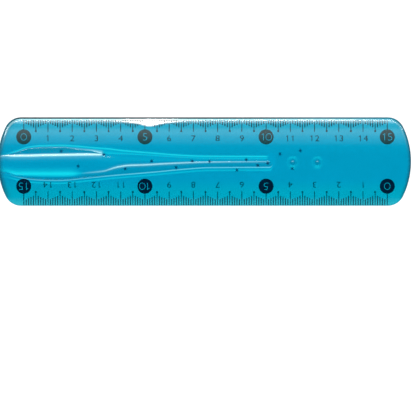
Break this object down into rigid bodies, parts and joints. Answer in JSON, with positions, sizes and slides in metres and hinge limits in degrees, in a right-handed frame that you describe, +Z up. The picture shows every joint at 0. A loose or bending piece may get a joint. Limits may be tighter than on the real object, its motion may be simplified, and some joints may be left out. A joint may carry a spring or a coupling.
{
  "type": "flexible ruler",
  "caption": "Flexible clear plastic ruler with bowed ends, a raised twisted ribbon and a centimetre scale printed along both edges.",
  "frame": {"origin": "middle of the ruler's footprint, on the surface that its printed underside rests on", "axes": "+X along the ruler, from the upper scale's 0 towards its 15; +Y across it, towards the upper scale; +Z up through its thickness, towards the raised ribbon"},
  "size_m": [0.1702, 0.0364, 0.003],
  "materials": {
    "clear_plastic": "clear tinted blue, glossy",
    "ink": "dark printed ink"
  },
  "bodies": {
    "section_01": {"blade_section_01": "clear_plastic", "upper_disc_00": "ink", "lower_disc_15": "ink"},
    "section_02": {"blade_section_02": "clear_plastic"},
    "section_03": {"blade_section_03": "clear_plastic"},
    "section_04": {"blade_section_04": "clear_plastic"},
    "section_05": {"blade_section_05": "clear_plastic", "upper_disc_05": "ink", "lower_disc_10": "ink"},
    "section_06": {"blade_section_06": "clear_plastic"},
    "section_07": {"blade_section_07": "clear_plastic"},
    "section_08": {"blade_section_08": "clear_plastic"},
    "section_09": {"blade_section_09": "clear_plastic", "upper_disc_10": "ink", "lower_disc_05": "ink"},
    "section_10": {"blade_section_10": "clear_plastic"},
    "section_11": {"blade_section_11": "clear_plastic"},
    "section_12": {"blade_section_12": "clear_plastic"},
    "section_13": {"blade_section_13": "clear_plastic", "upper_disc_15": "ink", "lower_disc_00": "ink"}
  },
  "joints": [
    {"name": "bend", "type": "hinge", "parent": "section_07", "child": "section_08", "pos_m": [0.00695, 0, 0.0011], "axis": [0, -1, 0], "range_deg": [-22.5, 22.5], "stiffness_Nm_per_rad": 0.04},
    {"name": "twist", "type": "hinge", "parent": "section_08", "child": "section_09", "pos_m": [0.01895, 0, 0.0011], "axis": [1, 0, 0], "range_deg": [-22.5, 22.5], "stiffness_Nm_per_rad": 0.04},
    {"name": "bend_right_2", "type": "hinge", "parent": "section_09", "child": "section_10", "pos_m": [0.03095, 0, 0.0011], "axis": [0, -1, 0], "range_deg": [-22.5, 22.5], "stiffness_Nm_per_rad": 0.04},
    {"name": "bend_right_3", "type": "hinge", "parent": "section_10", "child": "section_11", "pos_m": [0.04295, 0, 0.0011], "axis": [0, -1, 0], "range_deg": [-22.5, 22.5], "stiffness_Nm_per_rad": 0.04},
    {"name": "twist_right_2", "type": "hinge", "parent": "section_11", "child": "section_12", "pos_m": [0.05495, 0, 0.0011], "axis": [1, 0, 0], "range_deg": [-22.5, 22.5], "stiffness_Nm_per_rad": 0.04},
    {"name": "bend_right_4", "type": "hinge", "parent": "section_12", "child": "section_13", "pos_m": [0.06695, 0, 0.0011], "axis": [0, -1, 0], "range_deg": [-22.5, 22.5], "stiffness_Nm_per_rad": 0.04},
    {"name": "bend_left_1", "type": "hinge", "parent": "section_07", "child": "section_06", "pos_m": [-0.00505, 0, 0.0011], "axis": [0, 1, 0], "range_deg": [-22.5, 22.5], "stiffness_Nm_per_rad": 0.04},
    {"name": "twist_left_1", "type": "hinge", "parent": "section_06", "child": "section_05", "pos_m": [-0.01705, 0, 0.0011], "axis": [-1, 0, 0], "range_deg": [-22.5, 22.5], "stiffness_Nm_per_rad": 0.04},
    {"name": "bend_left_2", "type": "hinge", "parent": "section_05", "child": "section_04", "pos_m": [-0.02905, 0, 0.0011], "axis": [0, 1, 0], "range_deg": [-22.5, 22.5], "stiffness_Nm_per_rad": 0.04},
    {"name": "bend_left_3", "type": "hinge", "parent": "section_04", "child": "section_03", "pos_m": [-0.04105, 0, 0.0011], "axis": [0, 1, 0], "range_deg": [-22.5, 22.5], "stiffness_Nm_per_rad": 0.04},
    {"name": "twist_left_2", "type": "hinge", "parent": "section_03", "child": "section_02", "pos_m": [-0.05305, 0, 0.0011], "axis": [-1, 0, 0], "range_deg": [-22.5, 22.5], "stiffness_Nm_per_rad": 0.04},
    {"name": "bend_left_4", "type": "hinge", "parent": "section_02", "child": "section_01", "pos_m": [-0.06505, 0, 0.0011], "axis": [0, 1, 0], "range_deg": [-22.5, 22.5], "stiffness_Nm_per_rad": 0.04}
  ],
  "couplings": [
    {"joint": "bend_right_2", "follows": "bend", "ratio": 1},
    {"joint": "bend_right_3", "follows": "bend", "ratio": 1},
    {"joint": "bend_right_4", "follows": "bend", "ratio": 1},
    {"joint": "bend_left_1", "follows": "bend", "ratio": 1},
    {"joint": "bend_left_2", "follows": "bend", "ratio": 1},
    {"joint": "bend_left_3", "follows": "bend", "ratio": 1},
    {"joint": "bend_left_4", "follows": "bend", "ratio": 1},
    {"joint": "twist_right_2", "follows": "twist", "ratio": 1},
    {"joint": "twist_left_1", "follows": "twist", "ratio": 1},
    {"joint": "twist_left_2", "follows": "twist", "ratio": 1}
  ]
}
